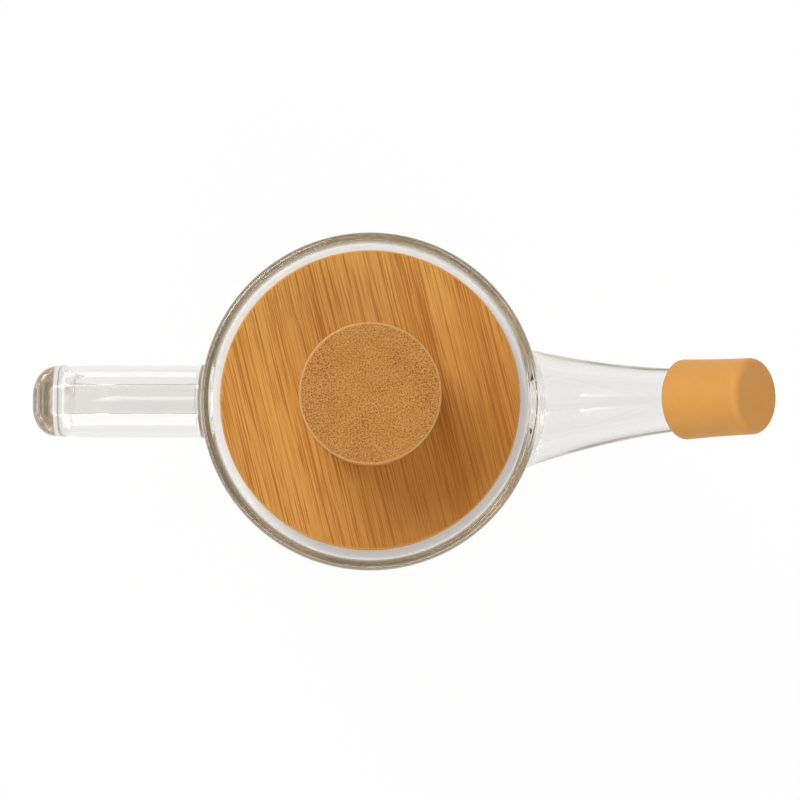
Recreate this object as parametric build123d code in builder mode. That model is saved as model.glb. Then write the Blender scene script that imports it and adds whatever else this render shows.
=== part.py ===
from build123d import *
import os
from math import cos, hypot, radians, sin, tan

# A glass oil dispenser, in millimetres. A straight-sided pot carries a flat ribbon handle and a
# rising spout. A turned wooden lid with a soft seal closes the pot, and a soft cap the spout.
# The origin is the middle of the pot's base. +X runs towards the spout and +Z is up.

# Pot
pot_od = 90.0
pot_height = 112.0
pot_wall = 2.9
base_thickness = 5.0
heel_radius = 6.0
floor_radius = 5.0
rim_radius = 1.35

# Spout: its axis rises from the pot's outer face, and its radii are given along that axis
spout_rise = 42.0
spout_root_height = 83.3
spout_neck = 50.9
spout_length = 69.0
spout_outer = [15.6, 10.85, 8.1]
spout_inner = [12.4, 8.1, 6.3]
spout_tip_outer = 7.8
spout_tip_inner = 6.2
spout_tip_fillet = 0.7
collar_reach = 6.0
collar_fillet = 2.5
collar_inner_fillet = 2.0

# Handle: a ribbon with a flat back, whose outer face has a flat middle and sloping shoulders
# Its widths are given at shares of its path, from the root under the rim to the lower root
handle_widths = [19.5, 19.5, 19.5, 19.2, 18.2, 17.0, 16.0, 15.4]
handle_shares = [0.0, 0.12, 0.24, 0.36, 0.5, 0.65, 0.8, 1.0]
handle_thickness = 6.8
handle_flat = 7.5
handle_slope = 30.0
handle_outer_corner = 4.3
handle_inner_corner = 0.8
handle_reach = 91.0
handle_top = 105.5
handle_bottom = 34.0
handle_top_bend = 7.75
handle_bottom_bend = 15.0
# Drawn by hand, it leans: its middle is this far to the side at its upper and lower root
handle_lean = [0.4, 1.6]

# Cap on the spout's tip
cap_length = 22.9
cap_open_radius = 10.55
cap_closed_radius = 9.9
cap_clearance = 0.2
cap_end_fillet = 1.9
cap_lip_fillet = 0.5

# Lid, its seal, its knob and the screw between them
lid_radius = 39.6
lid_top = pot_height + 4.5
lid_bottom = pot_height - 9.5
lid_top_fillet = 0.7
lid_bottom_fillet = 1.0
groove_depth = 2.2
groove_top = pot_height - 1.8
groove_bottom = groove_top - 5.4
seal_gap = 0.05
seal_fin_clearance = 0.15
seal_fin_thickness = 1.0
seal_fin_count = 3
knob_top_radius = 18.2
knob_base_radius = 17.6
knob_height = 27.0
knob_top_fillet = 1.0
knob_base_fillet = 0.4
screw_head_radius = 4.5
screw_shank_radius = 2.1
screw_length = 30.0
screw_point = 4.0
screw_clearance = 0.3
screw_recess = [5.0, 1.1, 1.5]
pilot_clearance = 0.05

# Worked out from the above
pot_radius = pot_od / 2
bore_radius = pot_radius - pot_wall
rise = radians(spout_rise)
spout_root = Vector(pot_radius, 0, spout_root_height)
spout_direction = Vector(cos(rise), 0, sin(rise))
spout_axis = Axis(spout_root, spout_direction)
spout_plane = Plane(origin=spout_root, x_dir=spout_direction, z_dir=(0, -1, 0))
weld_plane = Plane.YZ.offset(pot_radius + collar_reach)
spout_start = -24.0


def trumpet(radii, end, end_radius):
    """Close a profile along the spout's axis: an arc through the radii at its root, middle and
    neck, drawn on inwards past the pot's wall, then a straight taper to the end."""
    neck_arc = ThreePointArc(
        (0, radii[0]), (spout_neck / 2, radii[1]), (spout_neck, radii[2])
    )
    inward = neck_arc % 0
    start_radius = radii[0] + spout_start * inward.Y / inward.X
    Polyline(
        (0, radii[0]), (spout_start, start_radius), (spout_start, 0), (end, 0),
        (end, end_radius), (spout_neck, radii[2]),
    )


# Pot body: a cylinder with a thick base, and a short collar drawn out for the spout
with BuildPart() as pot_body:
    with BuildSketch(Plane.XZ):
        with BuildLine():
            Polyline(
                (0, 0), (pot_radius, 0), (pot_radius, pot_height), (bore_radius, pot_height),
                (bore_radius, base_thickness), (0, base_thickness), close=True,
            )
        make_face()
    revolve(axis=Axis.Z)
    levels = pot_body.edges().filter_by(GeomType.CIRCLE).group_by(Axis.Z)
    fillet(levels[0], heel_radius)
    fillet(levels[1], floor_radius)
    fillet(levels[-1], rim_radius)
    with BuildSketch(spout_plane):
        with BuildLine():
            trumpet(spout_outer, spout_length, spout_tip_outer)
        make_face()
    revolve(axis=spout_axis)
    split(bisect_by=weld_plane, keep=Keep.BOTTOM)
    with Locations((0, 0, base_thickness + floor_radius)):
        Cylinder(
            bore_radius, pot_height - base_thickness - floor_radius - 2 * rim_radius,
            align=(Align.CENTER, Align.CENTER, Align.MIN), mode=Mode.SUBTRACT,
        )

    def on_wall(edge, radius):
        """True where an edge's middle lies on the pot's wall of that radius, on the spout's side."""
        middle = edge @ 0.5
        return middle.X > radius / 2 and abs(hypot(middle.X, middle.Y) - radius) < 0.01

    root_edges = pot_body.edges().filter_by(
        lambda edge: edge.geom_type != GeomType.CIRCLE and on_wall(edge, pot_radius)
    )
    fillet(root_edges, collar_fillet)
    with BuildSketch(spout_plane):
        with BuildLine():
            trumpet(spout_inner, spout_length, spout_tip_inner)
        make_face()
    revolve(axis=spout_axis, mode=Mode.SUBTRACT)
    mouth_edges = pot_body.edges().filter_by(
        lambda edge: edge.geom_type != GeomType.CIRCLE and on_wall(edge, bore_radius)
    )
    fillet(mouth_edges, collar_inner_fillet)

pot_body.part.label = "pot_body"

# Spout: the trumpet from the collar's end to the pouring tip, open right through
with BuildPart() as pot_spout:
    with BuildSketch(spout_plane):
        with BuildLine():
            trumpet(spout_outer, spout_length, spout_tip_outer)
        make_face()
    revolve(axis=spout_axis)
    with BuildSketch(spout_plane):
        with BuildLine():
            trumpet(spout_inner, spout_length, spout_tip_inner)
        make_face()
    revolve(axis=spout_axis, mode=Mode.SUBTRACT)
    split(bisect_by=weld_plane, keep=Keep.TOP)
    tip_edges = pot_spout.edges().filter_by(GeomType.CIRCLE).group_by(spout_axis)[-1]
    fillet(tip_edges, spout_tip_fillet)

pot_spout.part.label = "pot_spout"

# Handle: the ribbon runs out below the rim, down, and back to the wall, and narrows on its way
with BuildPart() as pot_handle:
    centre_reach = handle_reach - handle_thickness / 2
    with BuildLine():
        handle_path = FilletPolyline(
            (-bore_radius, 0, handle_top), (-centre_reach, 0, handle_top),
            (-centre_reach, 0, handle_bottom), (-bore_radius, 0, handle_bottom),
            radius=[handle_top_bend, handle_bottom_bend],
        )
    outer_face = handle_thickness / 2
    for share, width in zip(handle_shares, handle_widths):
        middle = handle_path @ share
        drop = (handle_top - middle.Z) / (handle_top - handle_bottom)
        aside = handle_lean[0] + drop * (handle_lean[1] - handle_lean[0])
        place = Plane(
            origin=(middle.X, aside, middle.Z), x_dir=(0, -1, 0), z_dir=handle_path % share
        )
        flat = handle_flat * width / handle_widths[0]
        shoulder_end = outer_face - (width - flat) / 2 * tan(radians(handle_slope))
        with BuildSketch(place) as ribbon:
            with BuildLine():
                Polyline(
                    (-width / 2, -outer_face), (-width / 2, shoulder_end),
                    (-flat / 2, outer_face), (flat / 2, outer_face),
                    (width / 2, shoulder_end), (width / 2, -outer_face), close=True,
                )
            make_face()
            back, shoulders, _ = ribbon.vertices().group_by(Axis.Y)
            fillet(shoulders, handle_outer_corner)
            fillet(back, handle_inner_corner)
    sweep(path=handle_path, multisection=True)
    with Locations((0, 0, pot_height / 2)):
        Cylinder(pot_radius, 2 * pot_height, mode=Mode.SUBTRACT)

pot_handle.part.label = "pot_handle"

# Spout cap: a soft thimble, slightly narrower at its closed end
with BuildPart() as spout_cap:
    tip_gap = spout_length + cap_clearance
    neck_bore = spout_outer[-1] + cap_clearance
    with BuildSketch(spout_plane):
        with BuildLine():
            Polyline(
                (spout_neck, neck_bore), (spout_neck, cap_open_radius),
                (spout_neck + cap_length, cap_closed_radius), (spout_neck + cap_length, 0),
                (tip_gap, 0), (tip_gap, spout_tip_outer + cap_clearance), close=True,
            )
        make_face()
    revolve(axis=spout_axis)
    rings = spout_cap.edges().filter_by(GeomType.CIRCLE).group_by(spout_axis)
    fillet(rings[-1], cap_end_fillet)
    fillet(rings[0], cap_lip_fillet)

spout_cap.part.label = "spout_cap"

# Lid: a turned disc with a groove for the seal and a countersunk hole for the screw
groove_floor = lid_radius - groove_depth
with BuildPart() as lid:
    with BuildSketch(Plane.XZ):
        with BuildLine():
            Polyline(
                (0, lid_bottom), (lid_radius, lid_bottom), (lid_radius, groove_bottom),
                (groove_floor, groove_bottom), (groove_floor, groove_top),
                (lid_radius, groove_top), (lid_radius, lid_top), (0, lid_top), close=True,
            )
        make_face()
    revolve(axis=Axis.Z)
    rings = lid.edges().filter_by(GeomType.CIRCLE).group_by(Axis.Z)
    fillet(rings[0], lid_bottom_fillet)
    fillet(rings[-1], lid_top_fillet)
    with Locations(Plane(origin=(0, 0, lid_bottom), z_dir=(0, 0, -1))):
        CounterSinkHole(
            radius=screw_shank_radius + screw_clearance,
            counter_sink_radius=screw_head_radius + screw_clearance,
        )

lid.part.label = "lid"

# Lid seal: a soft band in the lid's groove, with fins that wipe the pot's wall
with BuildPart() as lid_seal:
    band_inner = groove_floor + seal_gap
    band_top = groove_top - seal_gap
    band_bottom = groove_bottom + seal_gap
    fin_radius = bore_radius - seal_fin_clearance
    fin_pitch = (band_top - band_bottom - seal_fin_thickness) / (seal_fin_count - 1)
    with BuildSketch(Plane.XZ):
        with Locations((band_inner, band_bottom)):
            Rectangle(
                lid_radius - band_inner, band_top - band_bottom, align=(Align.MIN, Align.MIN)
            )
        with Locations(*[(band_inner, band_bottom + i * fin_pitch) for i in range(seal_fin_count)]):
            Rectangle(fin_radius - band_inner, seal_fin_thickness, align=(Align.MIN, Align.MIN))
    revolve(axis=Axis.Z)
    fin_edges = lid_seal.edges().filter_by(GeomType.CIRCLE).group_by(SortBy.RADIUS)[-1]
    fillet(fin_edges, 0.4 * seal_fin_thickness)

lid_seal.part.label = "lid_seal"

# Lid knob: a turned cylinder, slightly wider at the top, drilled for the screw
with BuildPart() as lid_knob:
    with BuildSketch(Plane.XZ):
        with BuildLine():
            Polyline(
                (0, lid_top), (knob_base_radius, lid_top),
                (knob_top_radius, lid_top + knob_height), (0, lid_top + knob_height), close=True,
            )
        make_face()
    revolve(axis=Axis.Z)
    rings = lid_knob.edges().filter_by(GeomType.CIRCLE).group_by(Axis.Z)
    fillet(rings[0], knob_base_fillet)
    fillet(rings[-1], knob_top_fillet)
    screw_tip = lid_bottom + screw_length
    with Locations(Plane(origin=(0, 0, lid_top), z_dir=(0, 0, -1))):
        Hole(screw_shank_radius + pilot_clearance, depth=screw_tip + pilot_clearance - lid_top)

lid_knob.part.label = "lid_knob"

# Knob screw: countersunk, flush with the underside of the lid, with a cross recess
with BuildPart() as knob_screw:
    cone_depth = screw_head_radius - screw_shank_radius
    with BuildSketch(Plane.XZ):
        with BuildLine():
            Polyline(
                (0, lid_bottom), (screw_head_radius, lid_bottom),
                (screw_shank_radius, lid_bottom + cone_depth),
                (screw_shank_radius, screw_tip - screw_point), (0, screw_tip), close=True,
            )
        make_face()
    revolve(axis=Axis.Z)
    recess_length, recess_width, recess_depth = screw_recess
    with BuildSketch(Plane.XY.offset(lid_bottom)):
        Rectangle(recess_length, recess_width)
        Rectangle(recess_width, recess_length)
    extrude(amount=recess_depth, mode=Mode.SUBTRACT)

knob_screw.part.label = "knob_screw"

os.makedirs("parts", exist_ok=True)
pieces = [pot_body, pot_spout, pot_handle, spout_cap, lid, lid_seal, lid_knob, knob_screw]
for piece in pieces:
    export_step(piece.part, f"parts/{piece.part.label}.step")
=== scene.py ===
from math import cos, pi, radians, sin

import bmesh
import bpy
import numpy as np
from mathutils import Matrix, Vector


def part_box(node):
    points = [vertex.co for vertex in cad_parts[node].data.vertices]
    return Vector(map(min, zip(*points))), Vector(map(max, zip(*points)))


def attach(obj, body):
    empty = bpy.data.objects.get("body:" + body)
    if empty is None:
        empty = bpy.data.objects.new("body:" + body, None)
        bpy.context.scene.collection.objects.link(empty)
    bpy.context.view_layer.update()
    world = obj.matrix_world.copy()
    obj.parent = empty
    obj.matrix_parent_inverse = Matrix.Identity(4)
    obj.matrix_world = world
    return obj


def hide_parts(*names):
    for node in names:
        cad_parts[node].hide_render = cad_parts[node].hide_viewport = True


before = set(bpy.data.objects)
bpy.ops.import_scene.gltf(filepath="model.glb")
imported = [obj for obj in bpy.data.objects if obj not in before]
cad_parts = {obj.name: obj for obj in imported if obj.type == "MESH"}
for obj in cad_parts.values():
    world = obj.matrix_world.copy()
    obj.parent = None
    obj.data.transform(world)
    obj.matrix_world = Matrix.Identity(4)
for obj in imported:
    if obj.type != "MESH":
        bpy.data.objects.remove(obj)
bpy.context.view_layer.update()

# A glass oil dispenser seen from above: a straight-sided pot with a ribbon handle and a rising
# spout, a bamboo lid with a soft white seal and an end-grain knob, and a soft cap on the spout.
# Everything is in metres in the frame's own axes, +X to the spout and +Z up.

MM = 0.001

# Sizes read from the frame
_, pot_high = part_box("pot_body")
handle_low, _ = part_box("pot_handle")
lid_low, lid_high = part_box("lid")
seal_low, seal_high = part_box("lid_seal")
knob_low, knob_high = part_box("lid_knob")
_, screw_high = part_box("knob_screw")

# Pot
pot_radius = pot_high.y
rim_height = pot_high.z
pot_wall = 2.9 * MM
bore_radius = pot_radius - pot_wall
base_thickness = 5.0 * MM
heel_radius = 6.0 * MM
floor_radius = 5.0 * MM
rim_radius = pot_wall / 2
pole_radius = 8.0 * MM
pot_columns = 320
row_height = 1.35 * MM
# Columns to each side of a block's middle
spout_columns = 25
handle_columns = 15

# Spout, measured along its axis from the pot's outer face
spout_rise = radians(42.0)
spout_root = np.array([pot_radius, 0.0, 83.3 * MM])
spout_neck = 50.9 * MM
spout_length = 69.0 * MM
spout_outer = np.array([15.6, 10.85, 8.1]) * MM
spout_inner = np.array([12.4, 8.1, 6.3]) * MM
spout_tip_outer = 7.8 * MM
spout_tip_inner = 6.2 * MM
collar_reach = 7.0 * MM
collar_fillet = 2.5 * MM
mouth_fillet = 2.0 * MM
collar_low = 50.5 * MM
collar_high = 109.5 * MM

# Handle: a ribbon with a flat back, whose outer face has a flat middle and sloping shoulders
handle_reach = -handle_low.x
handle_half_width = 9.75 * MM
# Its widths as parts of that, at shares of its path from under the rim to the lower root
handle_narrowing = [1.0, 1.0, 1.0, 0.985, 0.945, 0.9, 0.86, 0.835]
handle_shares = [0.0, 0.12, 0.24, 0.36, 0.5, 0.65, 0.8, 1.0]
handle_thickness = 6.8 * MM
handle_half_flat = 3.75 * MM
# The shoulders' slope, and how round it is at the flat middle, the sides and the back: on the
# top run, and beyond its bend
handle_crisp = (radians(30.0), 0.25 * MM, 2.8 * MM, 0.8 * MM)
handle_round = (radians(25.0), 0.8 * MM, 3.6 * MM, 2.4 * MM)
handle_top = 105.5 * MM
handle_bottom = 34.0 * MM
handle_top_bend = 7.75 * MM
handle_bottom_bend = 15.0 * MM
handle_fillet = 1.6 * MM
handle_start = 50.0 * MM
handle_root_half = 5.5 * MM
handle_lean = (0.4 * MM, 2.0 * MM)
# Shares of the path between which the section gets rounder
handle_change = [0.2, 0.3]

# Lid, seal, knob and cap
lid_radius = lid_high.x
groove_radius = 37.4 * MM
groove_low = 104.8 * MM
groove_high = 110.2 * MM
lid_hole = 2.4 * MM
lid_countersink = 4.8 * MM
seal_radius = seal_high.x
seal_inner = 37.45 * MM
seal_band = 39.6 * MM
seal_fin = 1.0 * MM
knob_top_radius = 18.2 * MM
knob_base_radius = 17.6 * MM
knob_hole = 2.15 * MM
cap_start = 50.9 * MM
cap_end = 73.8 * MM
cap_open_radius = 10.55 * MM
cap_closed_radius = 9.9 * MM
cap_bore_open = 8.3 * MM
cap_bore_closed = 8.0 * MM
cap_bore_end = 69.2 * MM
ring_columns = 256
knob_columns = 224
cap_columns = 128


# Shapes as fields: each gives about the distance to a surface, and is negative inside

def joined(first, second, fillet):
    """Two shapes joined with a round fillet: where both are nearer than the fillet's radius, the
    distance is the radius less the length of what is left of each."""
    left = np.hypot(np.maximum(fillet - first, 0), np.maximum(fillet - second, 0))
    return np.maximum(fillet, np.minimum(first, second)) - left


def crossed(first, second, corner):
    """What two shapes share, with a round corner: the same rule, turned inside out."""
    return -joined(-first, -second, corner)


def slope_of(field, points):
    """The field's gradient at each point, from steps to both sides along each axis."""
    step = 1e-6
    sides = [field(points + move) - field(points - move) for move in np.eye(3) * step]
    return np.stack(sides, axis=-1) / (2 * step)


def settled(points, field, rounds=3):
    """Points moved along the field's gradient until they lie where the field is zero."""
    for _ in range(rounds):
        slope = slope_of(field, points)
        reach = field(points) / np.maximum((slope**2).sum(axis=-1), 0.2)
        points = points - slope * reach[..., None]
    return points


def halved(low, high, short_of, rounds=40):
    """The values between low and high at which a test turns false, found by halving."""
    for _ in range(rounds):
        middle = (low + high) / 2
        short = short_of(middle)
        low = np.where(short, middle, low)
        high = np.where(short, high, middle)
    return (low + high) / 2


def relaxed(band, stations, field, rounds):
    """A closed band of rows drawn even: each inner point moves halfway to the mean of its
    neighbours, those of the rows weighted to keep the rows' stations, and then back onto the
    field's surface."""
    gaps = np.diff(stations)[:, None, None]
    before = gaps[1:] / (gaps[:-1] + gaps[1:])
    for _ in range(rounds):
        inner = band[1:-1]
        along = band[:-2] * before + band[2:] * (1 - before)
        around = (np.roll(inner, 1, 1) + np.roll(inner, -1, 1)) / 2
        band[1:-1] = settled(inner / 2 + (along + around) / 4, field, 1)
    band[1:-1] = settled(band[1:-1], field)
    return band


def to_crease(rows):
    """Stations from -1 at a block's edge to 0 at a crease, closing up towards it."""
    return -np.cos(np.linspace(0, pi / 2, rows)) ** 1.3


def cylinder(radius):
    """The distance from an upright cylinder about the pot's axis."""
    return lambda points: np.hypot(points[..., 0], points[..., 1]) - radius


# Spout

spout_along = np.array([cos(spout_rise), 0.0, sin(spout_rise)])
spout_up = np.array([-sin(spout_rise), 0.0, cos(spout_rise)])
spout_side = np.array([0.0, 1.0, 0.0])


def trumpet_radius(radii, tip, along):
    """The spout's radius at a distance along its axis: an arc through the radii at the root, the
    middle and the neck, its tangent on inwards, and a straight taper from the neck to the tip."""
    stations = np.array([0.0, spout_neck / 2, spout_neck])
    chords = 2 * np.stack([np.diff(stations), np.diff(radii)], axis=1)
    centre = np.linalg.solve(chords, np.diff(stations**2 + radii**2))
    bend = np.hypot(stations[0] - centre[0], radii[0] - centre[1])
    inside = np.clip(along, 0, spout_neck)
    arc = centre[1] - np.sqrt(bend**2 - (inside - centre[0]) ** 2)
    lead = -centre[0] / np.sqrt(bend**2 - centre[0] ** 2)
    taper = (tip - radii[2]) / (spout_length - spout_neck)
    return arc + lead * np.minimum(along, 0) + taper * np.maximum(along - spout_neck, 0)


def on_spout(turn, along, radius):
    """Points at an angle from the spout's upper side, a distance along it and a radius."""
    rise = (radius * np.cos(turn))[..., None] * spout_up
    side = (radius * np.sin(turn))[..., None] * spout_side
    return spout_root + np.asarray(along)[..., None] * spout_along + rise + side


def trumpet(radii, tip):
    """About the distance from the spout's flared surface: the distance from its axis less the
    radius there."""
    def field(points):
        offset = points - spout_root
        away = np.hypot(offset @ spout_up, offset[..., 1])
        return away - trumpet_radius(radii, tip, offset @ spout_along)
    return field


def along_at(radii, tip, turn, measure):
    """The distance along the spout's axis where a measure of its surface turns positive."""
    nearest, farthest = np.full(turn.shape, -30 * MM), np.full(turn.shape, 45 * MM)
    return halved(nearest, farthest, lambda along: measure(
        on_spout(turn, along, trumpet_radius(radii, tip, along))) < 0)


def spout_band(edge, wall_radius, radii, tip, fillet):
    """Rows from a block's edge in along the wall to the line where the spout meets it, and out
    along the spout to an upright plane, evened on the field of both joined with a fillet."""
    wall_rows, rounds = 12, 60
    wall, tube = cylinder(wall_radius), trumpet(radii, tip)
    offset = edge - spout_root
    turn = np.arctan2(offset[:, 1], offset @ spout_up)
    crease_along = along_at(radii, tip, turn, wall)
    crease = on_spout(turn, crease_along, trumpet_radius(radii, tip, crease_along))
    stations = to_crease(wall_rows)
    wall_part = crease + (crease - edge) * stations[:, None, None]
    plane = along_at(radii, tip, turn, lambda points: points[..., 0] - pot_radius - collar_reach)
    beyond = -stations[-2::-1]
    along = crease_along + (plane - crease_along) * beyond[:, None]
    tube_part = on_spout(turn + 0 * along, along, trumpet_radius(radii, tip, along))
    band = relaxed(
        np.concatenate([wall_part, tube_part]), np.concatenate([stations, beyond]),
        lambda points: joined(wall(points), tube(points), fillet), rounds)
    return band, turn, plane


def spout_rows(outer_edge, inner_edge):
    """All the spout's rows: from the outer wall's block up the outside, over the lip's half
    circle, down the bore and into the inner wall's block."""
    outer_band, outer_turn, outer_start = spout_band(
        outer_edge, pot_radius, spout_outer, spout_tip_outer, collar_fillet)
    inner_band, inner_turn, inner_start = spout_band(
        inner_edge, bore_radius, spout_inner, spout_tip_inner, mouth_fillet)
    lip_radius = (spout_tip_outer - spout_tip_inner) / 2
    lip_start = spout_length - lip_radius
    tube_rows, lip_rows = 44, 7
    share = np.linspace(0, 1, tube_rows + 1)[1:, None]

    def tube(radii, tip, turn, start):
        along = start * (1 - share) + lip_start * share
        return on_spout(turn + 0 * along, along, trumpet_radius(radii, tip, along))

    lean = np.linspace(0, pi, lip_rows + 2)[1:-1, None]
    lip_turn = outer_turn + (inner_turn - outer_turn) * lean / pi
    lip_middle = (spout_tip_outer + spout_tip_inner) / 2
    lip = on_spout(
        lip_turn, lip_start + lip_radius * np.sin(lean) + 0 * lip_turn,
        lip_middle + lip_radius * np.cos(lean) + 0 * lip_turn)
    return np.concatenate([
        outer_band[1:],
        tube(spout_outer, spout_tip_outer, outer_turn, outer_start),
        lip,
        tube(spout_inner, spout_tip_inner, inner_turn, inner_start)[::-1],
        inner_band[-1:0:-1],
    ])


# Handle

def section_field(across, out, kind):
    """The ribbon's section: what its flat middle, shoulders, sides and back share, with round
    corners. across is the distance from its middle line, and out points to the outer face."""
    slope, flat_corner, side_corner, back_corner = kind
    away = np.abs(across)
    middle = out - handle_thickness / 2
    shoulder = (away - handle_half_flat) * sin(slope) + middle * cos(slope)
    face = crossed(middle, shoulder, flat_corner)
    outer = crossed(face, away - handle_half_width, side_corner)
    return crossed(outer, -out - handle_thickness / 2, back_corner)


def section_outline(start, count, kind):
    """Points round the section, clockwise from an angle on, spaced by their length and by how much
    the outline turns there, so that its corners get more."""
    samples, beyond, bend_weight = 4001, 20 * MM, 1.5 * MM
    turn = start - np.linspace(0, 2 * pi, samples)
    way = np.stack([np.cos(turn), np.sin(turn)], axis=1)
    reach = halved(np.zeros(samples), np.full(samples, beyond), lambda away: section_field(
        away * way[:, 0], away * way[:, 1], kind) < 0)
    outline = reach[:, None] * way
    steps = np.diff(outline, axis=0)
    facing = np.unwrap(np.arctan2(steps[:, 1], steps[:, 0]))
    bend = np.abs(np.diff(facing, append=facing[:1] - 2 * pi))
    pace = np.cumsum(np.linalg.norm(steps, axis=1) + bend_weight * bend)
    wanted = np.arange(count) / count * pace[-1]
    pace = np.concatenate([[0], pace])
    return np.stack([np.interp(wanted, pace, outline[:, axis]) for axis in (0, 1)], axis=1)


def aside(height):
    """How far to the side the ribbon's middle is at a height, as it leans a little."""
    drop = (handle_top - height) / (handle_top - handle_bottom)
    return handle_lean[0] + drop * (handle_lean[1] - handle_lean[0])


def handle_band(edge, section, kind, height, upward, narrowing):
    """Rows from a block's edge in along the wall to the line where the ribbon meets it, and out
    along the ribbon, evened on the field of both joined with a fillet."""
    wall_rows, rounds = 8, 40
    across, lift = aside(height) + section[:, 0] * narrowing, height + section[:, 1] * upward
    crease = np.stack([-np.sqrt(pot_radius**2 - across**2), across, lift], axis=1)
    start = np.stack([np.full(len(across), -handle_start), across, lift], axis=1)
    stations = to_crease(wall_rows)
    wall_part = crease + (crease - edge) * stations[:, None, None]
    beyond = -stations[-2::-1]
    ribbon_part = crease + (start - crease) * beyond[:, None, None]
    wall = cylinder(pot_radius)

    def root(points):
        across = (points[..., 1] - aside(height)) / narrowing
        out = (points[..., 2] - height) * upward
        return joined(wall(points), section_field(across, out, kind), handle_fillet)

    stations = np.concatenate([stations, beyond])
    return relaxed(np.concatenate([wall_part, ribbon_part]), stations, root, rounds)


def handle_route():
    """The ribbon's middle line and the way its outer face looks: out from the pot, round the upper
    bend, down, round the wider lower bend and back."""
    far = -(handle_reach - handle_thickness / 2)
    upper_centre = (far + handle_top_bend, handle_top - handle_top_bend)
    lower_centre = (far + handle_bottom_bend, handle_bottom + handle_bottom_bend)

    def straight(start, end, facing, count):
        share = np.linspace(0, 1, count + 1)[1:, None]
        return np.array(start) * (1 - share) + np.array(end) * share, np.full(count, facing)

    def bend(centre, radius, start, end, count):
        facing = np.linspace(start, end, count + 1)[1:]
        turned = radius * np.stack([np.cos(facing), np.sin(facing)], axis=1)
        return np.array(centre) + turned, facing

    parts = [
        straight((-handle_start, handle_top), (upper_centre[0], handle_top), pi / 2, 22),
        bend(upper_centre, handle_top_bend, pi / 2, pi, 22),
        straight((far, upper_centre[1]), (far, lower_centre[1]), pi, 34),
        bend(lower_centre, handle_bottom_bend, pi, 1.5 * pi, 26),
        straight((lower_centre[0], handle_bottom), (-handle_start, handle_bottom), 1.5 * pi, 16),
    ]
    lines, facings = zip(*parts)
    return np.concatenate(lines)[:-1], np.concatenate(facings)[:-1]


def handle_rows(upper_edge, lower_edge):
    """All the ribbon's rows, from the upper block round the loop to the lower one: its section
    carried along the route, square to it, narrowing on the way and rounder beyond the top run."""
    offset = upper_edge[0] - np.array([0, 0, handle_top])
    start = np.arctan2(offset[2], offset[1])
    section = section_outline(start, len(upper_edge), handle_crisp)
    rounder = section_outline(start, len(upper_edge), handle_round)
    upper_band = handle_band(upper_edge, section, handle_crisp, handle_top, 1, 1.0)
    lower_band = handle_band(
        lower_edge, rounder, handle_round, handle_bottom, -1, handle_narrowing[-1])
    line, facing = handle_route()
    path = np.cumsum(np.linalg.norm(np.diff(line, axis=0, prepend=line[:1]), axis=1))
    width = np.interp(path / path[-1], handle_shares, handle_narrowing)
    near = 6
    shares = np.full(2 * near + 1, 1 / (2 * near + 1))
    width = np.convolve(np.pad(width, near, "edge"), shares, "valid")
    change = np.interp(path / path[-1], handle_change, [0.0, 1.0])[:, None]
    across = (section[:, 0] * (1 - change) + rounder[:, 0] * change) * width[:, None]
    out = section[:, 1] * (1 - change) + rounder[:, 1] * change
    ribbon = np.stack([
        line[:, :1] + out * np.cos(facing)[:, None],
        across + aside(line[:, 1:]),
        line[:, 1:] + out * np.sin(facing)[:, None],
    ], axis=-1)
    return np.concatenate([upper_band[1:], ribbon, lower_band[-1:0:-1]])


# Profiles and grids

def line_to(start, end, count=1):
    """Points of a straight stretch of a profile, without its first point."""
    share = np.linspace(0, 1, count + 1)[1:, None]
    return np.array(start) * (1 - share) + np.array(end) * share


def arc_to(centre, radius, start, end, count=6):
    """Points of a round stretch of a profile, without its first point, by its angles."""
    turn = np.linspace(start, end, count + 1)[1:]
    return np.array(centre) + radius * np.stack([np.cos(turn), np.sin(turn)], axis=1)


def turned(profile, columns):
    """A profile of radius and height carried round the pot's axis."""
    turn = np.arange(columns) * 2 * pi / columns
    ring = np.stack([np.cos(turn), np.sin(turn), np.ones(columns)], axis=1)
    return profile[:, None, [0, 0, 1]] * ring


def cells(index):
    """The four corners of each cell between the rows of a closed band of vertex numbers."""
    after = np.roll(index, -1, axis=1)
    return np.stack([index[:-1], after[:-1], after[1:], index[1:]], axis=-1)


def fan(pole, row):
    """The triangles between a pole and the row round it."""
    return np.stack([np.full(len(row), pole), row, np.roll(row, -1)], axis=1)


def mesh_piece(name, points, faces):
    """A smooth mesh from its vertices and its faces' vertex numbers, faces turned outwards."""
    mesh = bpy.data.meshes.new(name)
    corners = [corner for block in faces for corner in block.reshape(-1, block.shape[-1]).tolist()]
    mesh.from_pydata(points.reshape(-1, 3).tolist(), [], corners)
    work = bmesh.new()
    work.from_mesh(mesh)
    bmesh.ops.recalc_face_normals(work, faces=work.faces)
    work.to_mesh(mesh)
    work.free()
    mesh.polygons.foreach_set("use_smooth", np.ones(len(mesh.polygons), bool))
    piece = bpy.data.objects.new(name, mesh)
    bpy.context.scene.collection.objects.link(piece)
    return piece


# Glass vessel

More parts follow.
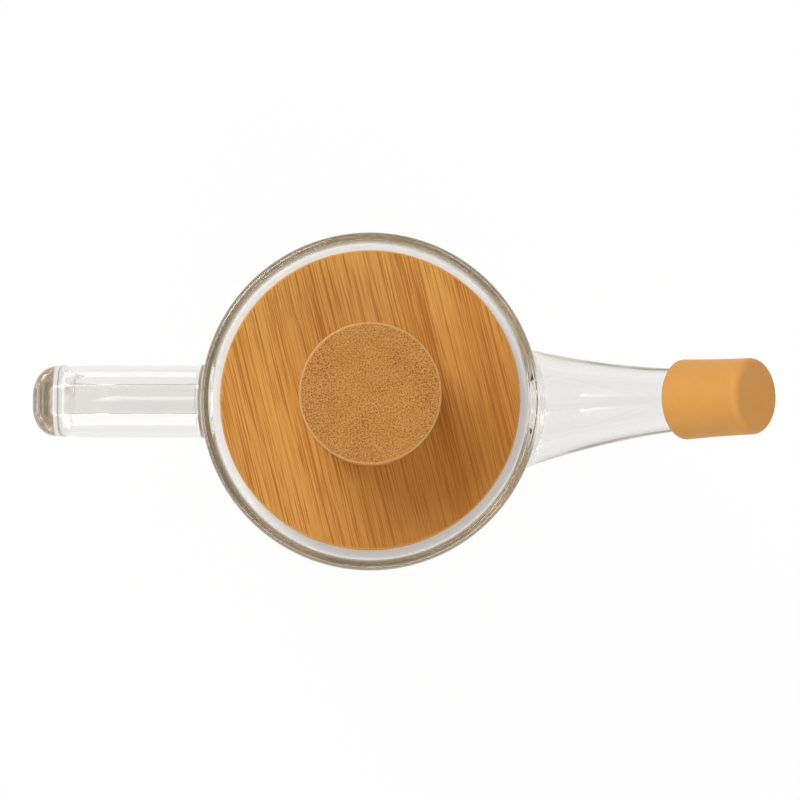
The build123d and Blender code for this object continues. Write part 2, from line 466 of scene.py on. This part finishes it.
def pot_profile():
    """The pot's half section, from the middle of the underside, round the heel, up the wall, over
    the rim, down the bore and in along the floor. With it come the wall's heights, and the row
    outside and the row inside at which each height's count starts."""
    heel_r = pot_radius - heel_radius
    floor_r = bore_radius - floor_radius
    floor_z = base_thickness + floor_radius
    rim_z = rim_height - rim_radius
    root_low, root_high = handle_bottom - handle_root_half, handle_bottom + handle_root_half
    stops = [heel_radius, floor_z + 2 * MM, root_low, root_high, collar_low, rim_z]
    spacing = [3 * MM, 4 * MM, row_height, 4 * MM, row_height]
    heights = np.concatenate([[heel_radius]] + [
        np.linspace(low, high, round((high - low) / gap) + 1)[1:]
        for low, high, gap in zip(stops, stops[1:], spacing)
    ])
    lowest_inside = int(np.argmax(heights > floor_z + 1 * MM))
    inner_heights = heights[lowest_inside:-1][::-1]
    rows = [
        np.array([[pole_radius, 0]]),
        line_to((pole_radius, 0), (heel_r, 0), 3),
        arc_to((heel_r, heel_radius), heel_radius, -pi / 2, 0, 12),
        np.stack([np.full(len(heights) - 1, pot_radius), heights[1:]], axis=1),
        arc_to((pot_radius - rim_radius, rim_z), rim_radius, 0, pi, 20),
        np.stack([np.full(len(inner_heights), bore_radius), inner_heights], axis=1),
        np.array([[bore_radius, floor_z]]),
        arc_to((floor_r, floor_z), floor_radius, 0, -pi / 2, 12),
        line_to((floor_r, base_thickness), (pole_radius, base_thickness), 3),
    ]
    outside_start = sum(len(block) for block in rows[:3]) - 1
    inside_start = sum(len(block) for block in rows[:6]) - 1 + lowest_inside
    return np.concatenate(rows), heights, outside_start, inside_start


def block_frame(body, low_row, high_row, columns):
    """The vertex numbers round a block of the pot's grid: along its low row, up, back and down."""
    step = 1 if high_row > low_row else -1
    between = np.arange(low_row + step, high_row, step)
    return np.concatenate([
        body[low_row, columns], body[between, columns[-1]],
        body[high_row, columns[::-1]], body[between[::-1], columns[0]],
    ])


def glass_vessel():
    """The fused glass as one closed surface. The pot is its half section turned about the axis,
    with blocks of its wall left open for the spout and the handle. One band of rows runs from the
    outer block over the spout into the inner block, and another round the handle's loop."""
    profile, heights, outside, inside = pot_profile()
    body_points = turned(profile, pot_columns)
    points = [body_points.reshape(-1, 3)]
    body = np.arange(body_points.shape[0] * pot_columns).reshape(-1, pot_columns)
    body_cells = cells(body)
    kept = np.ones(body_cells.shape[:2], bool)

    def row_at(height):
        return int(np.abs(heights - height).argmin())

    def open_block(first_row, last_row, columns):
        rows = np.arange(min(first_row, last_row), max(first_row, last_row))
        kept[np.ix_(rows, columns[:-1])] = False
        return block_frame(body, first_row, last_row, columns)

    def add_band(start_ring, band, end_ring):
        first = sum(len(block) for block in points)
        index = first + np.arange(band.shape[0] * band.shape[1]).reshape(band.shape[:2])
        points.append(band.reshape(-1, 3))
        return cells(np.vstack([start_ring, index, end_ring]))

    columns = np.arange(-spout_columns, spout_columns + 1) % pot_columns
    low, high = row_at(collar_low), row_at(collar_high)
    outer_ring = open_block(outside + low, outside + high, columns)
    inner_ring = open_block(inside - low, inside - high, columns)
    spout = spout_rows(points[0][outer_ring], points[0][inner_ring])

    columns = np.arange(-handle_columns, handle_columns + 1) + pot_columns // 2
    low, high = row_at(handle_top - handle_root_half), row_at(handle_top + handle_root_half)
    upper_ring = open_block(outside + low, outside + high, columns)
    root = row_at(handle_bottom - handle_root_half)
    lower_ring = open_block(outside + root + high - low, outside + root, columns)
    handle = handle_rows(points[0][upper_ring], points[0][lower_ring])

    faces = [add_band(outer_ring, spout, inner_ring)]
    faces += [add_band(upper_ring, handle, lower_ring), body_cells[kept]]
    pole = sum(len(block) for block in points)
    points.append(np.array([[0, 0, 0], [0, 0, base_thickness]]))
    faces += [fan(pole, body[0]), fan(pole + 1, body[-1])]
    return mesh_piece("glass_vessel", np.concatenate(points), faces)


# Turned pieces

def turned_ring(name, profile):
    """A closed profile, one that doesn't touch the axis, carried round it."""
    index = np.arange(len(profile) * ring_columns).reshape(-1, ring_columns)
    faces = [cells(np.vstack([index, index[:1]]))]
    return mesh_piece(name, turned(profile, ring_columns), faces)


def turned_solid(name, profile, columns, placed=lambda points: points):
    """A profile that begins and ends on the axis, carried round it, with a pole at each end."""
    ends = np.array([[0, 0, profile[0, 1]], [0, 0, profile[-1, 1]]])
    inner = turned(profile[1:-1], columns)
    index = np.arange(inner.shape[0] * columns).reshape(-1, columns)
    pole = index.size
    points = np.concatenate([placed(inner).reshape(-1, 3), placed(ends)])
    return mesh_piece(name, points, [
        cells(index), fan(pole, index[0]), fan(pole + 1, index[-1]),
    ])


def lid_disc():
    """The lid: a flat top with a soft arris, a straight edge with the seal's groove, and a
    countersunk hole up its middle."""
    edge, top, bottom = lid_radius, lid_high.z, lid_low.z
    soft, under, nick = 0.7 * MM, 1.0 * MM, 0.2 * MM
    return turned_ring("lid_disc", np.concatenate([
        [[lid_hole, top]],
        line_to((lid_hole, top), (edge - soft, top), 14),
        arc_to((edge - soft, top - soft), soft, pi / 2, 0, 8),
        line_to((edge, top - soft), (edge, groove_high + nick), 3),
        arc_to((edge - nick, groove_high + nick), nick, 0, -pi / 2, 3),
        line_to((edge - nick, groove_high), (groove_radius, groove_high)),
        line_to((groove_radius, groove_high), (groove_radius, groove_low)),
        line_to((groove_radius, groove_low), (edge - nick, groove_low)),
        arc_to((edge - nick, groove_low - nick), nick, pi / 2, 0, 3),
        line_to((edge, groove_low - nick), (edge, bottom + under)),
        arc_to((edge - under, bottom + under), under, 0, -pi / 2, 8),
        line_to((edge - under, bottom), (lid_countersink, bottom), 10),
        line_to((lid_countersink, bottom), (lid_hole, bottom + lid_countersink - lid_hole), 2),
    ]))


def seal_ring():
    """The seal: a band that fills the groove, with three round-edged fins that reach nearly to
    the glass."""
    fins, foot = 3, 0.4 * MM
    low, high = seal_low.z, seal_high.z
    pitch = (high - low - seal_fin) / (fins - 1)
    tip = 0.45 * seal_fin
    rows = [[[seal_inner, low]]]
    for fin in range(fins):
        start = low + fin * pitch
        rows += [
            [[seal_band - foot, start], [seal_band, start]],
            line_to((seal_band, start), (seal_radius - tip, start), 2),
            arc_to((seal_radius - tip, start + tip), tip, -pi / 2, 0, 5),
            arc_to((seal_radius - tip, start + seal_fin - tip), tip, 0, pi / 2, 5),
            line_to((seal_radius - tip, start + seal_fin), (seal_band, start + seal_fin), 2),
        ]
    rows += [[[seal_inner, high]]]
    return turned_ring("lid_gasket", np.concatenate(rows))


def knob_block():
    """The knob: a flat top with a turned arris, a side that draws in slightly to its foot, and
    the screw's hole."""
    top, foot = knob_high.z, knob_low.z
    soft, heel = 1.0 * MM, 0.4 * MM
    hole_end = screw_high.z + 0.05 * MM
    return turned_solid("knob_block", np.concatenate([
        [[0, top]],
        line_to((0, top), (knob_top_radius - soft, top), 12),
        arc_to((knob_top_radius - soft, top - soft), soft, pi / 2, 0, 8),
        line_to((knob_top_radius, top - soft), (knob_base_radius, foot + heel), 12),
        arc_to((knob_base_radius - heel, foot + heel), heel, 0, -pi / 2, 4),
        line_to((knob_base_radius - heel, foot), (knob_hole, foot), 4),
        line_to((knob_hole, foot), (knob_hole, hole_end), 2),
        [[0, hole_end]],
    ]), knob_columns)


def along_spout(points):
    """Points of a piece turned about the upright axis, laid along the spout's axis."""
    lengths = points @ np.array([[0, 0, 1], [0, 1, 0], [-1, 0, 0]]).T
    return spout_root + lengths @ np.stack([spout_along, spout_side, spout_up])


def soft_cap():
    """The cap: a thimble with a rolled lip, a slightly drawn-in side and a round closed end whose
    face dishes by a hair."""
    end, lip, roll = cap_end, 0.5 * MM, 1.9 * MM
    waist_depth, dish_depth = 0.12 * MM, 0.15 * MM
    face = cap_closed_radius - roll
    dish = np.linspace(0, 1, 9)[:-1]
    side_start, side_end = (cap_open_radius, cap_start + lip), (cap_closed_radius, end - roll)
    waist = np.sin(np.linspace(0, pi, 15)[1:, None]) * np.array([[waist_depth, 0]])
    return turned_solid("soft_cap", np.concatenate([
        np.stack([dish * face, end - dish_depth * np.cos(dish * pi / 2) ** 2], axis=1),
        [[face, end]],
        arc_to((face, end - roll), roll, pi / 2, 0, 10),
        line_to(side_end, side_start, 14) - waist,
        arc_to((cap_open_radius - lip, cap_start + lip), lip, 0, -pi / 2, 5),
        arc_to((cap_bore_open + lip, cap_start + lip), lip, -pi / 2, -pi, 5),
        line_to((cap_bore_open, cap_start + lip), (cap_bore_closed, cap_bore_end), 8),
        line_to((cap_bore_closed, cap_bore_end), (0, cap_bore_end), 5),
    ]), cap_columns, along_spout)


# Materials

def rgb(red, green, blue):
    """A colour written as it shows on a screen, 0 to 255, as the shader's linear values."""
    shown = np.array([red, green, blue]) / 255
    linear = np.where(shown < 0.04045, shown / 12.92, ((shown + 0.055) / 1.055) ** 2.4)
    return (*linear.tolist(), 1.0)


def grey(value):
    """A neutral colour of a linear brightness."""
    return (value, value, value, 1)


def add(tree, kind, inputs=None, **settings):
    """Adds a shader node. Each input is a value, or the output that feeds it."""
    node = tree.nodes.new("ShaderNode" + kind)
    for name, value in settings.items():
        setattr(node, name, value)
    for name, value in (inputs or {}).items():
        if isinstance(value, bpy.types.NodeSocket):
            tree.links.new(value, node.inputs[name])
        else:
            node.inputs[name].default_value = value
    return node


def maths(tree, operation, first, second=0.0):
    """One step of arithmetic on two numbers."""
    return add(tree, "Math", {0: first, 1: second}, operation=operation).outputs[0]


def times(tree, first, *others):
    """Numbers multiplied together."""
    for other in others:
        first = maths(tree, "MULTIPLY", first, other)
    return first


def vector_maths(tree, operation, first, second):
    """One step of arithmetic on two vectors."""
    return add(tree, "VectorMath", {0: first, 1: second}, operation=operation).outputs[0]


def mixed(tree, factor, first, second):
    """Two colours mixed by a factor."""
    return add(tree, "Mix", {0: factor, 6: first, 7: second}, data_type="RGBA").outputs[2]


def tinted(tree, base, mask, share, colour):
    """A colour with another laid over it through a mask, as strongly as the share says."""
    return mixed(tree, times(tree, mask, share), base, colour)


def stretch(tree, value, low, high, to_low=0.0, to_high=1.0):
    """A number's range mapped smoothly onto another, and held at its ends."""
    inputs = {0: value, 1: low, 2: high, 3: to_low, 4: to_high}
    return add(tree, "MapRange", inputs, interpolation_type="SMOOTHSTEP").outputs[0]


def noise(tree, place, scale, detail=2.0, roughness=0.5):
    """Soft noise at a place, whose grains are about one over the scale across."""
    inputs = {"Vector": place, "Scale": scale, "Detail": detail, "Roughness": roughness}
    return add(tree, "TexNoise", inputs).outputs["Fac"]


def object_place(tree):
    """The piece's own coordinates."""
    return add(tree, "TexCoord").outputs["Object"]


def mapped(tree, place, **changes):
    """A place with a Location, Rotation or Scale of its own for a pattern."""
    return add(tree, "Mapping", {"Vector": place, **changes}).outputs[0]


def axes(tree, place):
    """A place's X, Y and Z."""
    return add(tree, "SeparateXYZ", {0: place}).outputs


def new_group(name, inputs, outputs):
    """An empty shader node group with its sockets."""
    tree = bpy.data.node_groups.new(name, "ShaderNodeTree")
    for title, kind in inputs.items():
        tree.interface.new_socket(title, in_out="INPUT", socket_type="NodeSocket" + kind)
    for title, kind in outputs.items():
        tree.interface.new_socket(title, in_out="OUTPUT", socket_type="NodeSocket" + kind)
    return tree, tree.nodes.new("NodeGroupInput").outputs, tree.nodes.new("NodeGroupOutput").inputs


def use_group(tree, group, inputs):
    """The outputs of a node group placed in a material."""
    return add(tree, "Group", inputs, node_tree=group).outputs


def new_material(name):
    """An empty node material."""
    material = bpy.data.materials.new(name)
    material.use_nodes = True
    material.node_tree.nodes.clear()
    return material, material.node_tree


def surface(tree, base, roughness, relief, more):
    """An opaque surface joined to the output. Its relief is a height, how strongly that bumps it,
    and how deep it goes."""
    height, strength, depth = relief
    bump = add(tree, "Bump", {"Height": height, "Strength": strength, "Distance": depth})
    shader = add(tree, "BsdfPrincipled", {
        "Base Color": base, "Roughness": roughness, "Normal": bump.outputs[0], **more})
    add(tree, "OutputMaterial", {"Surface": shader.outputs[0]})


def bamboo_fibre_group():
    """Bamboo cut along its fibres, which run along the place's Z. Its strips differ in tone. Dark
    streaks are the peaks of two noises, drawn out some ninety and seventy times along the fibres,
    and fine hairs are a smaller noise drawn out as the second."""
    tree, given, result = new_group(
        "bamboo_fibre", {"Place": "Vector", "Strip Width": "Float"},
        {"Strips": "Float", "Streaks": "Float", "Hairs": "Float"})
    layer_depth = 0.019
    parts = axes(tree, given["Place"])
    strip = maths(tree, "FLOOR", maths(tree, "DIVIDE", parts["X"], given["Strip Width"]))
    layer = maths(tree, "FLOOR", maths(tree, "DIVIDE", parts["Y"], layer_depth))
    cell = add(tree, "CombineXYZ", {"X": strip, "Y": layer}).outputs[0]
    tone = add(tree, "TexWhiteNoise", {"Vector": cell}, noise_dimensions="3D").outputs["Value"]
    shift = add(tree, "CombineXYZ", {"Z": times(tree, tone, 0.7)}).outputs[0]
    slid = vector_maths(tree, "ADD", given["Place"], shift)
    threshold = maths(tree, "SUBTRACT", 0.565, times(tree, tone, 0.06))

    def peaks(place, scale, gain):
        above = maths(tree, "SUBTRACT", noise(tree, place, scale, 1.5), threshold)
        return times(tree, above, gain)

    long = mapped(tree, slid, Scale=(1, 1, 0.0105))
    shorter = mapped(tree, slid, Scale=(1, 1, 0.014))
    streaks = maths(tree, "MAXIMUM", peaks(long, 2700.0, 11.0), peaks(shorter, 4300.0, 9.0))
    tree.links.new(add(tree, "Clamp", {0: streaks}).outputs[0], result["Streaks"])
    tree.links.new(noise(tree, shorter, 5600.0, 2.0, 0.6), result["Hairs"])
    tree.links.new(tone, result["Strips"])
    return tree


def bamboo_end_group():
    """Bamboo cut across its fibres, which run along the place's Z: dark pores at the middles of
    scattered cells, larger where a slow noise crowds them and towards -X, and pale grain between
    them."""
    tree, given, result = new_group(
        "bamboo_end", {"Place": "Vector"}, {"Pores": "Float", "Grain": "Float", "Tone": "Float"})
    flat = vector_maths(tree, "MULTIPLY", given["Place"], (1, 1, 0))
    inputs = {"Vector": flat, "Scale": 900.0, "Detail": 1.0}
    wander = add(tree, "TexNoise", inputs).outputs["Color"]
    wander = vector_maths(tree, "MULTIPLY", wander, (0.0006, 0.0006, 0))
    flat = vector_maths(tree, "ADD", flat, wander)
    inputs = {"Vector": flat, "Scale": 1400.0, "Randomness": 0.85}
    cell = add(tree, "TexVoronoi", inputs, voronoi_dimensions="2D").outputs
    slow = mapped(tree, flat, Location=(0.3, 0.1, 0), Scale=(1, 0.25, 1))
    crowd = stretch(tree, noise(tree, slow, 90.0, 1.0), 0.35, 0.7)
    left = stretch(tree, axes(tree, given["Place"])["X"], 0.0, -0.014, 0.0, 0.35)
    size = stretch(tree, maths(tree, "ADD", crowd, left), 0.0, 1.3, 0.2, 0.32)
    pick = add(tree, "SeparateColor", {0: cell["Color"]}).outputs[0]
    size = times(tree, size, stretch(tree, pick, 0.0, 0.8, 0.35, 1.1))
    depth = maths(tree, "DIVIDE", cell["Distance"], size)
    tree.links.new(stretch(tree, depth, 1.15, 0.55), result["Pores"])
    tree.links.new(noise(tree, flat, 2600.0, 3.0, 0.65), result["Grain"])
    tree.links.new(noise(tree, flat, 160.0, 3.0), result["Tone"])
    return tree


def fine_wear_group():
    """Light handling wear: a cloudy change of roughness, a fine pebble for the bump, and rare
    faint smudges."""
    tree, given, result = new_group(
        "fine_wear", {"Place": "Vector", "Roughness": "Float", "Change": "Float", "Grit": "Float"},
        {"Roughness": "Float", "Height": "Float", "Smudge": "Float"})
    cloud = noise(tree, given["Place"], 70.0, 3.0)
    change = times(tree, maths(tree, "SUBTRACT", cloud, 0.5), given["Change"])
    smudge = stretch(tree, noise(tree, given["Place"], 38.0, 4.0), 0.55, 0.8)
    tree.links.new(maths(tree, "ADD", given["Roughness"], change), result["Roughness"])
    tree.links.new(noise(tree, given["Place"], given["Grit"], 2.0, 0.6), result["Height"])
    tree.links.new(smudge, result["Smudge"])
    return tree


bamboo_fibre = bamboo_fibre_group()
bamboo_end = bamboo_end_group()
fine_wear = fine_wear_group()


def looks_up(tree):
    """How far the surface looks up: one on a flat top, and nothing on an upright side."""
    return axes(tree, add(tree, "TexCoord").outputs["Normal"])["Z"]


def painted_arris_highlight(tree):
    """One on the rounded edge between a flat top and an upright side, where a painted highlight is
    laid.
    """
    upward = looks_up(tree)
    return times(tree, stretch(tree, upward, 0.12, 0.45), stretch(tree, upward, 0.97, 0.8))


def lid_bamboo():
    """Oiled bamboo with its fibres across the lid: honey strips, browner towards +X and -Y, partly
    in the strips' own colour and partly as painted shade on the side away from the key lamp, with
    tapering orange-brown streaks and a painted golden highlight on the arris."""
    material, tree = new_material("lid_bamboo")
    grain_turn, shade_and_grain_turn = radians(-13.9), radians(37)
    place = mapped(tree, object_place(tree), Rotation=(0, 0, grain_turn))
    upright = mapped(tree, place, Rotation=(pi / 2, 0, 0))
    fibre = use_group(tree, bamboo_fibre, {"Place": upright, "Strip Width": 0.0068})
    wear = use_group(tree, fine_wear, {
        "Place": place, "Roughness": 0.46, "Change": 0.2, "Grit": 900.0})
    hairs = stretch(tree, fibre["Hairs"], 0.3, 0.7)
    hollows = stretch(tree, fibre["Hairs"], 0.5, 0.25)
    # Painted shade, with some of the wood's own browner strips: the colour turns browner towards
    # +X and -Y, the side away from the key lamp where the knob casts its shadow
    aside_place = mapped(tree, object_place(tree), Rotation=(0, 0, shade_and_grain_turn))
    shade_and_grain_side = stretch(tree, axes(tree, aside_place)["X"], -0.008, 0.038)
    streak_share = 0.74
    base = mixed(tree, fibre["Strips"], rgb(208, 149, 68), rgb(198, 136, 54))
    base = tinted(tree, base, hairs, 0.5, rgb(230, 170, 92))
    base = tinted(tree, base, hollows, 0.35, rgb(178, 110, 38))
    base = tinted(tree, base, shade_and_grain_side, 0.56, rgb(170, 102, 30))
    base = tinted(tree, base, fibre["Streaks"], streak_share, rgb(164, 94, 25))
    base = tinted(tree, base, wear["Smudge"], 0.12, rgb(176, 114, 44))
    # Painted highlight: a bright golden band on the rounded arris
    base = tinted(tree, base, painted_arris_highlight(tree), 0.45, rgb(240, 178, 92))
    rough = maths(tree, "ADD", wear["Roughness"], times(tree, hairs, 0.08))
    dents = times(tree, fibre["Streaks"], streak_share, 0.4)
    height = maths(tree, "SUBTRACT", fibre["Hairs"], dents)
    surface(tree, base, rough, (height, 0.25, 0.0001), {"Specular IOR Level": 0.2})
    return material


def knob_bamboo():
    """Bamboo with its end grain up: tan with dark pores on top, upright fibres on the side, and a
    painted pale highlight on the arris."""
    material, tree = new_material("knob_bamboo")
    place = object_place(tree)
    top = stretch(tree, looks_up(tree), 0.55, 0.9)
    end = use_group(tree, bamboo_end, {"Place": place})
    fibre = use_group(tree, bamboo_fibre, {"Place": place, "Strip Width": 0.008})
    wear = use_group(tree, fine_wear, {
        "Place": place, "Roughness": 0.5, "Change": 0.15, "Grit": 1500.0})
    face = mixed(tree, stretch(tree, end["Tone"], 0.3, 0.7), rgb(173, 117, 52), rgb(186, 129, 64))
    face = mixed(tree, stretch(tree, end["Grain"], 0.42, 0.75), face, rgb(218, 160, 88))
    face = mixed(tree, stretch(tree, end["Grain"], 0.5, 0.28), face, rgb(150, 94, 36))
    face = tinted(tree, face, end["Pores"], 0.9, rgb(124, 74, 28))
    side = mixed(tree, fibre["Strips"], rgb(200, 140, 68), rgb(188, 126, 56))
    side = tinted(tree, side, fibre["Streaks"], 0.6, rgb(158, 98, 42))
    side = tinted(tree, side, stretch(tree, fibre["Hairs"], 0.3, 0.7), 0.3, rgb(216, 162, 100))
    base = mixed(tree, top, side, face)
    # Painted highlight: a pale band on the rounded arris
    base = tinted(tree, base, painted_arris_highlight(tree), 0.55, rgb(232, 178, 116))
    pits = times(tree, end["Pores"], top, -1.0)
    height = maths(tree, "ADD", pits, times(tree, fibre["Hairs"], 0.4))
    surface(tree, base, wear["Roughness"], (height, 0.35, 0.0001), {"Specular IOR Level": 0.2})
    return material


def cap_silicone():
    """Matt tan silicone with a fine moulded pebble and a soft sheen."""
    material, tree = new_material("cap_silicone")
    place = object_place(tree)
    wear = use_group(tree, fine_wear, {
        "Place": place, "Roughness": 0.56, "Change": 0.12, "Grit": 2600.0})
    cloud = stretch(tree, noise(tree, place, 120.0, 3.0), 0.3, 0.7)
    base = mixed(tree, cloud, rgb(221, 156, 78), rgb(225, 161, 84))
    base = tinted(tree, base, wear["Smudge"], 0.2, rgb(230, 170, 100))
    surface(tree, base, wear["Roughness"], (wear["Height"], 0.12, 0.00005), {
        "Specular IOR Level": 0.2, "Sheen Weight": 0.05, "Sheen Roughness": 0.5})
    return material


def seal_silicone():
    """Milky silicone, nearly white, with a slight gloss and faint cloudiness."""
    material, tree = new_material("seal_silicone")
    wear = use_group(tree, fine_wear, {
        "Place": object_place(tree), "Roughness": 0.38, "Change": 0.15, "Grit": 1800.0})
    base = mixed(tree, wear["Smudge"], rgb(244, 250, 254), rgb(237, 244, 249))
    surface(tree, base, wear["Roughness"], (wear["Height"], 0.1, 0.00005), {
        "Subsurface Weight": 0.5, "Subsurface Radius": (1.0, 1.0, 1.0),
        "Subsurface Scale": 0.001, "Specular IOR Level": 0.4})
    return material


def screw_steel():
    """Bright steel, turned in rings about the screw's axis, with fine scratches."""
    material, tree = new_material("screw_steel")
    place = object_place(tree)
    wear = use_group(tree, fine_wear, {
        "Place": place, "Roughness": 0.3, "Change": 0.25, "Grit": 3000.0})
    parts = axes(tree, place)
    reach = add(tree, "CombineXYZ", {"X": parts["X"], "Y": parts["Y"]}).outputs[0]
    reach = add(tree, "VectorMath", {0: reach}, operation="LENGTH").outputs["Value"]
    rings = maths(tree, "SINE", times(tree, reach, 42000.0))
    base = mixed(tree, wear["Smudge"], rgb(205, 205, 204), rgb(170, 168, 165))
    height = maths(tree, "ADD", wear["Height"], times(tree, rings, 0.3))
    surface(tree, base, wear["Roughness"], (height, 0.15, 0.00003), {"Metallic": 1.0})
    return material


def pot_glass():
    """Clear borosilicate glass, faintly warm where it is thick. Its surface has the slow ripple of
    glass drawn by hand. It lets lamp light straight through, so that its shadow stays pale, and
    light that has turned about inside it many times, so that none is lost there."""
    material, tree = new_material("pot_glass")
    place = object_place(tree)
    most_turns = 10.5
    slow = noise(tree, place, 55.0, 1.0)
    streaky = noise(tree, mapped(tree, place, Scale=(1, 1, 0.25)), 240.0, 2.0)
    height = maths(tree, "ADD", slow, times(tree, streaky, 0.03))
    bump = add(tree, "Bump", {"Height": height, "Strength": 0.15, "Distance": 0.0006})
    haze = stretch(tree, noise(tree, place, 30.0, 3.0), 0.3, 0.8, 0.008, 0.02)
    glass = add(tree, "BsdfPrincipled", {
        "Base Color": grey(1), "Transmission Weight": 1.0, "IOR": 1.47, "Roughness": haze,
        "Normal": bump.outputs[0]})
    clear = add(tree, "BsdfTransparent", {"Color": (0.93, 0.93, 0.92, 1)})
    path = add(tree, "LightPath").outputs
    passing = maths(tree, "MAXIMUM", path["Is Shadow Ray"], path["Is Diffuse Ray"])
    lost = maths(tree, "GREATER_THAN", path["Ray Depth"], most_turns)
    passing = maths(tree, "MAXIMUM", passing, lost)
    shader = add(tree, "MixShader", {0: passing, 1: glass.outputs[0], 2: clear.outputs[0]})
    tint = add(tree, "VolumeAbsorption", {"Color": (0.89, 0.865, 0.82, 1), "Density": 60.0})
    add(tree, "OutputMaterial", {"Surface": shader.outputs[0], "Volume": tint.outputs[0]})
    return material


def dress(piece, material, body, slot, *nodes):
    """Gives a new piece its material, the body it rides on and the nodes it stands for."""
    piece.data.materials.append(material)
    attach(piece, body)
    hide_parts(*nodes)


dress(glass_vessel(), pot_glass(), "pot", "pot_glass", "pot_body", "pot_spout", "pot_handle")
dress(lid_disc(), lid_bamboo(), "lid", "lid_wood", "lid")
dress(seal_ring(), seal_silicone(), "lid", "seal_silicone", "lid_seal")
dress(knob_block(), knob_bamboo(), "lid", "knob_wood", "lid_knob")
dress(soft_cap(), cap_silicone(), "cap", "cap_silicone", "spout_cap")

steel = screw_steel()
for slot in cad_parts["knob_screw"].material_slots:
    slot.material = steel


# Studio

def backdrop():
    """A white floor. What the camera sees is nearly all its own white. Glass and metal show it a
    little greyer, and dim and warm farther out, which draws the glass's outlines. The rest takes
    the light and keeps the object's shadow."""
    half, below = 3.0, 0.0002
    dim_from, dim_to = 0.4, 0.6
    own_white = 0.93
    corners = np.array([[-half, -half, 0], [half, -half, 0], [half, half, 0], [-half, half, 0]])
    floor = mesh_piece("floor", corners + [0, 0, -below], [np.array([[0, 1, 2, 3]])])
    material, tree = new_material("floor_white")
    path = add(tree, "LightPath").outputs
    seen = maths(tree, "MAXIMUM", path["Is Camera Ray"], path["Is Glossy Ray"])
    seen = maths(tree, "MAXIMUM", seen, path["Is Transmission Ray"])
    matt = add(tree, "BsdfDiffuse", {"Color": grey(0.9)})
    away = add(tree, "VectorMath", {0: object_place(tree)}, operation="LENGTH").outputs["Value"]
    far = stretch(tree, away, dim_from, dim_to)
    shown = mixed(tree, far, grey(0.9), (0.45, 0.4, 0.34, 1))
    shown = mixed(tree, path["Is Camera Ray"], shown, grey(1.01))
    white = add(tree, "Emission", {"Color": shown, "Strength": 1.0})
    factor = times(tree, seen, own_white)
    shader = add(tree, "MixShader", {0: factor, 1: matt.outputs[0], 2: white.outputs[0]})
    add(tree, "OutputMaterial", {"Surface": shader.outputs[0]})
    floor.data.materials.append(material)


def softbox(name, place, size, power):
    """A square lamp that faces the object's upper part."""
    target = Vector((0, 0, 0.1))
    lamp = bpy.data.lights.new(name, "AREA")
    lamp.shape = "SQUARE"
    lamp.size = size
    lamp.energy = power
    holder = bpy.data.objects.new(name, lamp)
    holder.location = place
    holder.rotation_euler = (target - Vector(place)).to_track_quat("-Z", "Y").to_euler()
    bpy.context.scene.collection.objects.link(holder)


def studio_world():
    """Even light for matt surfaces. Glass and metal see a room that is grey at the floor's edge,
    white above it, and dark and warm overhead, with three curved strips of bright light high up, a
    pair of small panels beyond the handle and a soft window low behind it."""
    world = bpy.data.worlds.new("studio")
    world.use_nodes = True
    tree = world.node_tree
    tree.nodes.clear()
    along, across, up = axes(tree, add(tree, "TexCoord").outputs["Generated"])
    bearing = maths(tree, "ARCTAN2", across, along)
    sideways = maths(tree, "ABSOLUTE", across)
    behind = maths(tree, "LESS_THAN", along, 0.0)

    def within(value, low, high, soft):
        rise = stretch(tree, value, low - soft, low + soft)
        return times(tree, rise, stretch(tree, value, high + soft, high - soft))

    arcs = [within(bearing, radians(low), radians(high), 0.1)
            for low, high in ((35, 72), (132, 160), (-135, -32))]
    strips = maths(tree, "ADD", arcs[0], maths(tree, "ADD", arcs[1], arcs[2]))
    strips = times(tree, strips, within(up, 0.5, 0.84, 0.02))
    panels = times(tree, within(sideways, 0.42, 0.62, 0.03), within(up, 0.56, 0.72, 0.03), behind)
    window = times(tree, within(across, -0.6, 0.6, 0.05), within(up, 0.4, 0.6, 0.03), behind)
    floor_edge, overhead = (0.36, 0.31, 0.25, 1), (0.13, 0.1, 0.07, 1)
    room = mixed(tree, stretch(tree, up, 0.05, 0.45), floor_edge, grey(0.95))
    room = mixed(tree, stretch(tree, up, 0.55, 0.95), room, overhead)
    room = mixed(tree, maths(tree, "ADD", strips, panels), room, grey(5))
    room = mixed(tree, window, room, grey(6))
    path = add(tree, "LightPath").outputs
    seen = maths(tree, "MAXIMUM", path["Is Glossy Ray"], path["Is Transmission Ray"])
    colour = mixed(tree, seen, grey(0.5), room)
    colour = mixed(tree, path["Is Camera Ray"], colour, grey(1))
    background = add(tree, "Background", {"Color": colour, "Strength": 1.0})
    add(tree, "OutputWorld", {"Surface": background.outputs[0]})
    bpy.context.scene.world = world


def photograph_camera():
    """A long lens almost straight above the lid, a little to the near side, with +Y up the
    picture."""
    place, target = Vector((0.0, -0.0455, 0.8617)), Vector((0.0079, 0.00015, 0.112))
    back = (place - target).normalized()
    right = Vector((0, 1, 0)).cross(back).normalized()
    turn = Matrix((right, back.cross(right), back)).transposed()
    lens = bpy.data.cameras.new("camera")
    lens.lens = 127.5
    lens.sensor_width = 36.0
    camera = bpy.data.objects.new("camera", lens)
    camera.matrix_world = Matrix.Translation(place) @ turn.to_4x4()
    bpy.context.scene.collection.objects.link(camera)
    bpy.context.scene.camera = camera


backdrop()
softbox("key", (-0.5, 0.6, 1.0), 0.6, 7.2)
softbox("fill", (0.3, -0.7, 0.9), 0.7, 2.6)
studio_world()
photograph_camera()

glass_bounces = 64
scene = bpy.context.scene
scene.view_settings.view_transform = "Standard"
scene.cycles.max_bounces = glass_bounces
scene.cycles.glossy_bounces = glass_bounces
scene.cycles.transmission_bounces = glass_bounces
scene.cycles.transparent_max_bounces = 16
